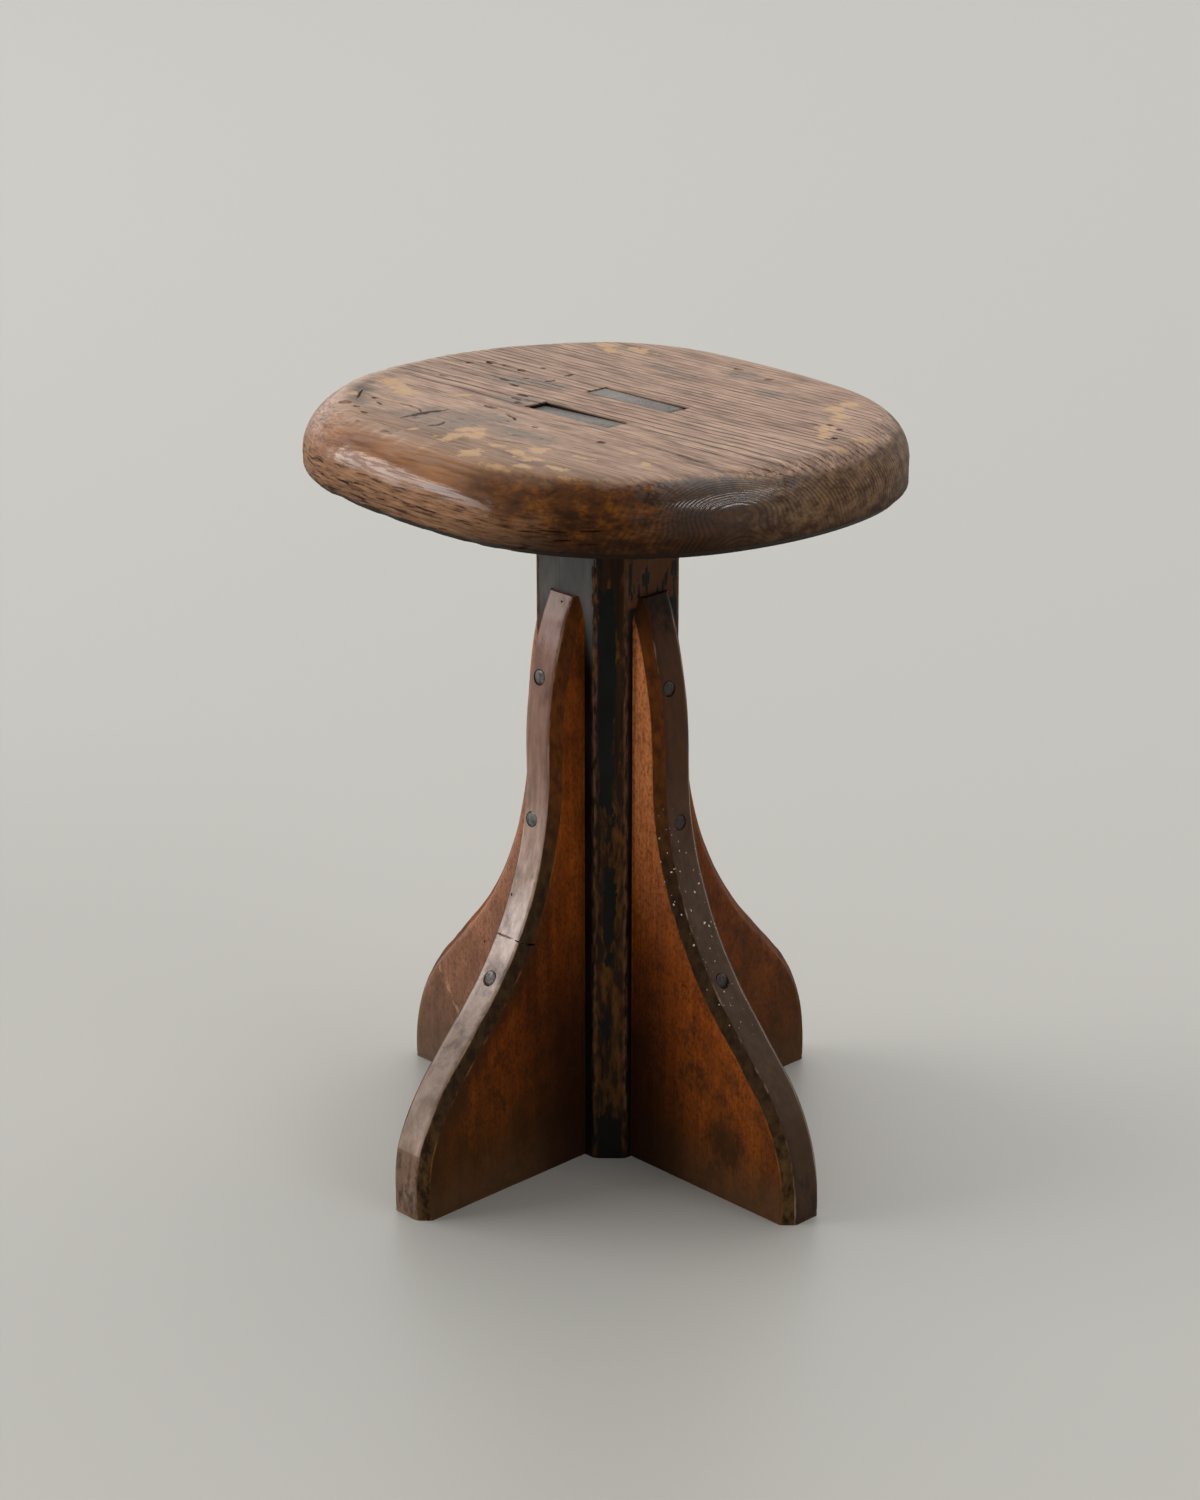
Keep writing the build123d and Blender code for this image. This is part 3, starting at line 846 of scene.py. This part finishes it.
    # The varnish ends crisply at the right and fades over the edge of the top at the front left
    edge = put(t, MATH, lumps(t, place, (22, 22, 22), 4), 9, inset, operation="MULTIPLY_ADD")
    edge = put(t, MATH, right, 3.5, edge, operation="MULTIPLY_ADD")
    over = put(t, RANGE, edge, put(t, RANGE, around, 10, -100, 4.2, 18), 1.6)
    under = put(t, RANGE, z, SEAT_UNDERSIDE + 4.2, SEAT_UNDERSIDE + 3)
    colour = put(t, MIX, over, bare, rim)
    colour = put(t, MIX, under, colour, "#22160D")
    # Varnish is a clear coat over the wood: gone where the rim is torn, dull where scratched along the grain
    scratch = put(t, RANGE, lumps(t, place, (30, 2.2, 1.4), 4), 0.57, 0.47, 0.1, 0.74)
    scratch = put(t, MATH, scratch, put(t, RANGE, knotty, 0, 0.7, 0, 0.55), operation="MAXIMUM")
    far_left = put(t, RANGE, around, -125, -165, 0, 0.3)
    scratch = put(t, MATH, scratch, far_left, operation="MAXIMUM")
    near_knot = put(t, MATH, put(t, RANGE, off_knot, 85, 45, 0, 1.6), put(t, RANGE, z, 424, 440))
    kept = put(t, MATH, put(t, RANGE, drifted, 0, -70, 0.05), near_knot, operation="MAXIMUM")
    whole = put(t, MATH, 1, ragged, operation="SUBTRACT")
    coat = over
    for share in (whole, kept, scratch):
        coat = put(t, MATH, coat, share)
    relief = put(t, MATH, put(t, MATH, fibre, ragged), 2.5, fine, operation="MULTIPLY_ADD")
    relief = put(t, MATH, line, -0.6, relief, operation="MULTIPLY_ADD")
    relief = put(t, MATH, pores, -0.5, relief, operation="MULTIPLY_ADD")
    bump = put(t, BUMP, named={"Strength": 0.6, "Distance": 0.3 * MM, "Height": relief})
    ridges = put(t, MATH, late, 1.2, streak, operation="MULTIPLY_ADD")
    ripple = put(t, BUMP, named={"Strength": 0.5, "Distance": 0.06 * MM, "Height": ridges})
    shader = put(t, PRINCIPLED, named={
        "Base Color": colour, "Roughness": 0.56, "Specular IOR Level": 0.1, "Normal": bump,
        "Coat Weight": coat, "Coat Roughness": 0.16, "Coat Normal": ripple})
    put(t, OUTPUT, shader)
    return material


def post_material():
    """Black paint over softwood, worn through along the chamfers; bare grey end grain on the tenons."""
    material, t, place = new_material("worn_black_paint_on_wood")
    x, y, z = put(t, SPLIT, place).outputs
    paint = put(t, ATTRIBUTE, attribute_name="paint").outputs["Fac"]
    arris = put(t, ATTRIBUTE, attribute_name="arris").outputs["Fac"]
    blot = lumps(t, place, (5, 5, 15), 6, 0.62)
    cover = put(t, RANGE, put(t, MATH, blot, 3.4, paint, operation="MULTIPLY_ADD"), 1.72, 1.84)
    # Brown wood, rubbed brighter low on the chamfers and bald above the right bracket
    grain = put(t, RANGE, lumps(t, place, (2.6, 2.6, 70), 3), 0.3, 0.7)
    wood = put(t, MIX, grain, "#160B04", "#341E09")
    bright = put(t, RANGE, z, 150, 300, 0.46, 0.56)
    rub = put(t, RANGE, lumps(t, place, (4.5, 4.5, 18), 5, 0.6), bright, 0.68, 0, 0.85)
    bald = put(t, MATH, x, POST_HALF_X, 1.2, operation="COMPARE")
    bald = put(t, MATH, bald, put(t, RANGE, z, BRACKET_TOP - 12, BRACKET_TOP - 4, 0, 0.55))
    wood = put(t, MIX, rub, wood, "#643F12")
    wood = put(t, MIX, bald, wood, "#6E4324")
    # Black paint, grey above the front bracket as dust and painted sheen
    film = put(t, RANGE, lumps(t, place, (14, 14, 30), 4), 0.35, 0.7)
    dust_and_sheen = put(t, MATH, y, -POST_HALF_Y, 0.9, operation="COMPARE")
    dust_and_sheen = put(t, MATH, dust_and_sheen, put(t, RANGE, z, BRACKET_TOP - 42, BRACKET_TOP - 2))
    dust_and_sheen = put(t, MATH, dust_and_sheen, put(t, RANGE, film, 0, 1, 0.5, 0.95))
    black = put(t, MIX, film, "#080807", "#141415")
    black = put(t, MIX, dust_and_sheen, black, "#5B5856")
    chip = put(t, MATH, put(t, RANGE, lumps(t, place, (2.2, 2.2, 9), 4), 0.42, 0.6), arris)
    foot = put(t, MATH, film, 30, z, operation="MULTIPLY_ADD")
    foot = put(t, RANGE, foot, 60, 15, 0, 0.75)
    # Sawn tenon ends: grey, with the open ends of the fibres as dark dots
    dots = put(t, RANGE, lumps(t, place, (1.1, 0.9, 1)), 0.4, 0.68)
    band = put(t, RANGE, lumps(t, place, (26, 5, 60), 3), 0.35, 0.68, 0, 0.6)
    end = put(t, MIX, dots, "#7C7773", "#524D49")
    end = put(t, MIX, band, end, "#6F675F")
    sawn = put(t, RANGE, z, SEAT_TOP - 5.5, SEAT_TOP - 3.6)
    colour = wood
    for amount, tint in ((cover, black), (chip, "#6A4430"), (foot, "#15110D"), (sawn, end)):
        colour = put(t, MIX, amount, colour, tint)
    gloss = put(t, RANGE, cover, 0, 1, 0.55, 0.42)
    gloss = put(t, MATH, film, 0.12, gloss, operation="MULTIPLY_ADD")
    relief = put(t, MATH, cover, 0.5, grain, operation="MULTIPLY_ADD")
    relief = put(t, MATH, blot, 0.5, relief, operation="MULTIPLY_ADD")
    bump = put(t, BUMP, named={"Strength": 0.6, "Distance": 0.25 * MM, "Height": relief})
    shader = put(t, PRINCIPLED, named={
        "Base Color": colour, "Roughness": gloss, "Specular IOR Level": 0.14, "Normal": bump})
    put(t, OUTPUT, shader)
    return material


def bracket_material():
    """Varnished beech: warm orange-brown flanks, grimy chamfers, edges handled to a greyish polish."""
    material, t, place = new_material("old_varnished_beech")
    x, y, z = put(t, SPLIT, place).outputs
    scuff = put(t, ATTRIBUTE, attribute_name="scuff").outputs["Fac"]
    inboard = put(t, ATTRIBUTE, attribute_name="inboard").outputs["Fac"]
    # Which bracket a place belongs to, and the front faces of the right and left ones
    on_right = put(t, RANGE, x, BRACKET_HALF, POST_HALF_Y)
    on_left = put(t, RANGE, x, -BRACKET_HALF, -POST_HALF_Y)
    on_front = put(t, RANGE, y, -BRACKET_HALF, -POST_HALF_Y)
    on_back = put(t, RANGE, y, BRACKET_HALF, POST_HALF_Y)
    forward = put(t, RANGE, y, 3 - BRACKET_HALF, 1 - BRACKET_HALF)
    right_face = put(t, MATH, on_right, forward)
    left_face = put(t, MATH, on_left, forward)
    # A bracket's own directions: reach is how far out a place lies, aside how far from the bracket's middle
    wide_x = put(t, MATH, x, operation="ABSOLUTE")
    wide_y = put(t, MATH, y, operation="ABSOLUTE")
    reach = put(t, MATH, wide_x, wide_y, operation="MAXIMUM")
    aside = put(t, MATH, wide_x, wide_y, operation="MINIMUM")
    edge_half = BRACKET_HALF - BRACKET_CHAMFER
    edge = put(t, RANGE, aside, edge_half + 0.5, edge_half + 0.1)
    flank = put(t, RANGE, aside, BRACKET_HALF - 1.25, BRACKET_HALF - 1)
    near_edge = put(t, MATH, aside, edge_half + 0.3, 0.4, operation="COMPARE")
    near_flank = put(t, MATH, aside, BRACKET_HALF - 1.2, 0.3, operation="COMPARE")
    # Flanks: paler near the top of the right one's front face, as cleaner varnish and painted light; paler at
    # the left as dust and painted sheen; with beech's short dark flecks
    grain = put(t, RANGE, lumps(t, place, (6, 6, 140), 3), 0.32, 0.68)
    side = put(t, MIX, grain, "#853D08", "#9D4F12")
    cloud = lumps(t, place, (24, 24, 40), 6, 0.64)
    clean_and_lit = put(t, MATH, cloud, 90, z, operation="MULTIPLY_ADD")
    clean_and_lit = put(t, MATH, put(t, RANGE, clean_and_lit, 170, 310, 0, 0.95, **SMOOTH), right_face)
    dust_and_sheen = put(t, MATH, left_face, 0.4)
    fine = put(t, RANGE, lumps(t, place, (1.1, 1.1, 40)), 0.4, 0.66, 0, 0.22)
    fleck = put(t, RANGE, lumps(t, place, (1.5, 1.5, 2.8), 4, 0.66), 0.46, 0.66, 0, 0.62)
    stain = put(t, RANGE, cloud, 0.48, 0.7, 0, 0.65)
    # Painted light: the two window-facing faces keep fewer dark stains
    sunny = put(t, MATH, right_face, left_face, operation="ADD")
    stain_spared_where_lit = put(t, MATH, stain, put(t, RANGE, sunny, 0, 1, 1, 0.4))
    # Mould in the lower half, and on the front bracket a fringe of grime in from the chamfer
    mould = lumps(t, place, (11, 11, 15), 7, 0.72)
    spread = put(t, RANGE, mould, 0.47, 0.66, 0, 0.72)
    spread = put(t, MATH, spread, put(t, RANGE, z, 220, 70, 0.18))
    spread = put(t, MATH, spread, put(t, RANGE, left_face, 0, 1, 1, 0.3))
    fringe = put(t, MATH, mould, 34, inboard, operation="MULTIPLY_ADD")
    fringe = put(t, RANGE, fringe, 38, 22, 0, 0.8, **SMOOTH)
    fringe = put(t, MATH, fringe, put(t, RANGE, z, 210, 140))
    fringe = put(t, MATH, fringe, on_front)
    blotch = put(t, VECTOR, place, BLOTCH, operation="SUBTRACT")
    blotch = put(t, VECTOR, blotch, tuple(1 / s for s in BLOTCH_SIZE), operation="MULTIPLY")
    blotch = put(t, VECTOR, blotch, operation="LENGTH")
    blotch = put(t, MATH, mould, -1.6, blotch, operation="MULTIPLY_ADD")
    blotch = put(t, RANGE, blotch, 0.4, -0.3, 0, 0.75)
    # Painted shade: the lower part of the front bracket darkened where it stands in shade
    gloom = put(t, MATH, put(t, RANGE, z, 160, 100, 0.12, 0.4), on_front)
    grey = put(t, MATH, on_back, 0.35)
    # Feet drab and dusty, the corner at the post nearly black
    low = put(t, MATH, cloud, -150, z, operation="MULTIPLY_ADD")
    low = put(t, RANGE, low, 40, -75, 0, 0.75, **SMOOTH)
    dust = put(t, MATH, mould, 50, z, operation="MULTIPLY_ADD")
    dust = put(t, RANGE, dust, 58, 24, 0, 0.5)
    corner = put(t, RANGE, reach, 102, 44, 0, 0.85, **SMOOTH)
    corner = put(t, MATH, corner, put(t, RANGE, z, 200, 70, **SMOOTH))
    layers = (
        (clean_and_lit, "#CA7C4A"), (dust_and_sheen, "#AE8262"), (fine, "#4A2008"), (fleck, "#381804"), (stain_spared_where_lit, "#2C1706"),
        (spread, "#1F1108"), (fringe, "#2E1D0F"), (blotch, "#221308"), (gloom, "#2E1505"), (grey, "#4A382C"),
        (low, "#40290F"), (dust, "#5A4532"), (corner, "#230E05"),
    )
    for amount, tint in layers:
        side = put(t, MIX, amount, side, tint)
    # Chamfers: brown and thin-varnished above, thick with dark grime below, yellower at the feet
    dirt = put(t, RANGE, lumps(t, place, (5, 5, 9), 5, 0.62), 0.38, 0.66)
    upper = put(t, RANGE, z, 170, 270, **SMOOTH)
    slope = put(t, MIX, dirt, "#2A1A0D", "#43301A")
    thin = put(t, MIX, dirt, "#4A240A", "#6A390F")
    olive = put(t, MATH, put(t, RANGE, z, 75, 30, 0, 0.7), dirt)
    behind = put(t, MATH, y, x, operation="SUBTRACT")
    behind = put(t, RANGE, behind, 10, 30, 0, 0.8)
    for amount, tint in ((upper, thin), (olive, "#6B4E2A"), (behind, side)):
        slope = put(t, MIX, amount, slope, tint)
    # Handled edges: brown near the top, polished grey-pink half way down, browner again at the feet
    rub = put(t, RANGE, lumps(t, place, (3, 3, 26), 4), 0.32, 0.68)
    face = put(t, MIX, rub, "#94796B", "#B99F90")
    brown = put(t, MIX, rub, "#70493A", "#87604E")
    lower = put(t, RANGE, z, 150, 95, 0, 0.85, **SMOOTH)
    smear = put(t, RANGE, lumps(t, place, (8, 8, 15), 7, 0.72), 0.48, 0.64, 0, 0.7)
    smear = put(t, MATH, smear, put(t, RANGE, z, 185, 125, 0.25))
    # Painted light: the sloping facet above the front bracket's crease is painted paler, as if lit
    lit_facet = put(t, RANGE, z, 80, 54, 0, 0.75)
    lit_facet = put(t, MATH, lit_facet, put(t, RANGE, z, CREASE_HEIGHT - 0.6, CREASE_HEIGHT + 0.6))
    lit_facet = put(t, MATH, lit_facet, on_front)
    # The right bracket's edge gets a darker copy of the edge colour, with some dirt: painted shade, darkest
    # at its foot
    shaded = put(t, MATH, on_right, 0.93)
    shaded_edge = put(t, MIX, upper, "#4C3928", "#4A2C16")
    shaded_edge = put(t, MIX, put(t, MATH, dirt, 0.6), shaded_edge, "#2F2118")
    shaded_foot = put(t, MATH, low, shaded)
    streaked = put(t, MATH, smear, put(t, RANGE, z, 42, 36))
    layers = (
        (upper, brown), (lower, "#7A6456"), (smear, "#3F3028"), (lit_facet, "#B9A596"), (stain, "#46332A"),
        (shaded, shaded_edge), (put(t, MATH, low, 0.6), "#6E4F38"), (shaded_foot, "#2A1D14"), (streaked, "#2E211A"),
    )
    for amount, tint in layers:
        face = put(t, MIX, amount, face, tint)
    # Arrises rubbed pale here and there, and a painted highlight along the far one of the right bracket
    worn = put(t, RANGE, lumps(t, place, (9, 9, 40), 5, 0.6), 0.48, 0.64, 0, 0.6)
    painted_glint = on_right
    for share in (put(t, RANGE, y, 8, 9), put(t, RANGE, worn, 0, 0.6, 0.5), near_edge):
        painted_glint = put(t, MATH, painted_glint, share)
    pale = put(t, MATH, worn, near_edge)
    bright = put(t, MATH, worn, put(t, RANGE, z, 250, 170, 0, 0.8))
    bright = put(t, MATH, bright, near_flank)
    # Top ends: a pale rubbed line on the front bracket; black grime and painted shade under the seat on the
    # right one
    top_end = put(t, MATH, z, BRACKET_TOP - 1, 1.3, operation="COMPARE")
    top_end = put(t, MATH, top_end, put(t, RANGE, y, -44, -47, 0, 0.7))
    soot_and_shade = put(t, MATH, dirt, 22, z, operation="MULTIPLY_ADD")
    soot_and_shade = put(t, MATH, put(t, RANGE, soot_and_shade, BRACKET_TOP - 12, BRACKET_TOP + 10, 0, 0.8), on_right)
    # Pale flecks of spilt paint down the right bracket's edge, and a scuff on the left one
    spill = put(t, RANGE, lumps(t, place, (2.4, 2.4, 2.8), 1), 0.715, 0.74)
    off_flank = put(t, MATH, 1, flank, operation="SUBTRACT")
    for share in (put(t, RANGE, z, 100, 120), put(t, RANGE, z, 232, 206), on_right, off_flank):
        spill = put(t, MATH, spill, share)
    torn = put(t, RANGE, put(t, MATH, dirt, scuff), 0.25, 0.5, 0, 0.5)
    layers = (
        (flank, side), (edge, face), (painted_glint, "#C6B7A8"), (pale, "#A98B74"), (bright, "#A8652A"),
        (top_end, "#A5826C"), (soot_and_shade, "#1A0F07"), (spill, "#CFC8BA"), (torn, "#B08D68"),
    )
    colour = slope
    for amount, tint in layers:
        colour = put(t, MIX, amount, colour, tint)
    # A clear coat where the edges are polished by hands, and where the left bracket's face keeps its varnish
    polish = put(t, MATH, put(t, RANGE, stain, 0, 0.55, 0.75, 0.2), edge)
    polish = put(t, MATH, polish, put(t, RANGE, on_right, 0, 1, 1, 0.05))
    polish = put(t, MATH, polish, put(t, RANGE, z, 330, 280, 0.5))
    polish = put(t, MATH, polish, put(t, RANGE, z, 95, 160, 0.25))
    varnished = put(t, MATH, put(t, RANGE, stain_spared_where_lit, 0, 0.5, 0.6, 0.25), left_face)
    polish = put(t, MATH, polish, varnished, operation="MAXIMUM")
    gloss = put(t, RANGE, edge, 0, 1, 0.62, 0.45)
    gloss = put(t, MATH, rub, 0.1, gloss, operation="MULTIPLY_ADD")
    relief = put(t, MATH, fine, -0.8, rub, operation="MULTIPLY_ADD")
    relief = put(t, MATH, dirt, 0.6, relief, operation="MULTIPLY_ADD")
    bump = put(t, BUMP, named={"Strength": 0.5, "Distance": 0.15 * MM, "Height": relief})
    shader = put(t, PRINCIPLED, named={
        "Base Color": colour, "Roughness": gloss, "Specular IOR Level": 0.1, "Normal": bump,
        "Coat Weight": polish, "Coat Roughness": 0.24})
    put(t, OUTPUT, shader)
    return material


def iron_material():
    """Hammered iron gone dark: brown-black skin, rubbed brighter in spots."""
    material, t, place = new_material("oxidised_nail_iron")
    x = put(t, SPLIT, place).outputs["X"]
    skin = put(t, RANGE, lumps(t, place, (2.2, 2.2, 2.2), 4), 0.35, 0.68)
    rust = put(t, RANGE, lumps(t, place, (3.4, 3.4, 3.4), 3), 0.55, 0.7, 0, 0.5)
    # The right bracket's nails were varnished over with it
    varnished = put(t, RANGE, x, 38, 42, 0, 0.75)
    colour = put(t, MIX, skin, "#312E2C", "#67635F")
    colour = put(t, MIX, rust, colour, "#3B261A")
    colour = put(t, MIX, varnished, colour, "#271A12")
    gloss = put(t, RANGE, skin, 0, 1, 0.58, 0.42)
    bump = put(t, BUMP, named={"Strength": 0.5, "Distance": 0.12 * MM, "Height": skin})
    shader = put(t, PRINCIPLED, named={
        "Base Color": colour, "Roughness": gloss, "Metallic": 0.35, "Normal": bump})
    put(t, OUTPUT, shader)
    return material


def floor_material():
    """Plain pale floor with a faint sheen."""
    material, t, place = new_material("floor")
    shader = put(t, PRINCIPLED, named={"Base Color": "#B5B3AE", "Roughness": 0.42, "Specular IOR Level": 0.3})
    put(t, OUTPUT, shader)
    return material


def stand(data, name, place, turn):
    """Puts a light or the camera in the scene at a place, turned as given."""
    made = bpy.data.objects.new(name, data)
    bpy.context.scene.collection.objects.link(made)
    made.location = place
    made.rotation_mode = "QUATERNION"
    made.rotation_quaternion = turn
    return made


def window(name, way, far, aim, size, energy):
    """A soft rectangular light that shines from a direction at a height over the floor; sizes in metres."""
    light = bpy.data.lights.new(name, "AREA")
    light.shape = "RECTANGLE"
    light.size, light.size_y = size
    light.energy = energy
    way = Vector(way).normalized()
    stand(light, name, way * far + Vector((0, 0, aim)), way.to_track_quat("Z", "Y"))


nails = nail_axes()
seat_piece(seat_material())
post_piece(post_material())
beech = bracket_material()
for way in BRACKET_WAYS:
    bracket_piece(way, beech, nails)
iron = iron_material()
for row in NAIL_TILTS:
    nail_piece(row, iron, nails)

# Floor, light and camera
b = bmesh.new()
bmesh.ops.create_grid(b, x_segments=1, y_segments=1, size=FLOOR_SIZE / 2)
floor = new_object(b, "floor")
floor.data.materials.append(floor_material())

# The room is bright behind and to the left of the stool and dim on the camera's right
world = bpy.data.worlds.new("room")
bpy.context.scene.world = world
world.use_nodes = True
room = world.node_tree
room.nodes.clear()
sky = put(room, "ShaderNodeTexCoord").outputs["Generated"]
facing = put(room, VECTOR, sky, ROOM_WAY, operation="DOT_PRODUCT")
strength = put(room, RANGE, facing, 0, 1, 0.4, 1.6, **SMOOTH)
glow = put(room, "ShaderNodeBackground", named={"Color": "#F4F3F0", "Strength": strength})
put(room, "ShaderNodeOutputWorld", glow)

# A large window at the left, and a small weak one at the right that puts a sheen on the rim there
window("window", (-0.66, -0.58, 0.31), far=7.0, aim=0.3, size=(6.2, 3.2), energy=375)
window("side_window", (0.80, 0.12, 0.59), far=3.2, aim=0.4, size=(1.7, 0.5), energy=16)

# The photograph's viewpoint
camera_data = bpy.data.cameras.new("camera")
camera_data.lens = CAMERA_LENS
camera_data.sensor_width = CAMERA_SENSOR
level = Vector((math.sin(CAMERA_AZIMUTH), -math.cos(CAMERA_AZIMUTH), 0))
back = level * math.cos(CAMERA_ELEVATION) + Vector((0, 0, math.sin(CAMERA_ELEVATION)))
camera = stand(camera_data, "camera", CAMERA_PLACE, (-back).to_track_quat("-Z", "Y"))
bpy.context.scene.camera = camera
bpy.context.scene.view_settings.view_transform = "Standard"
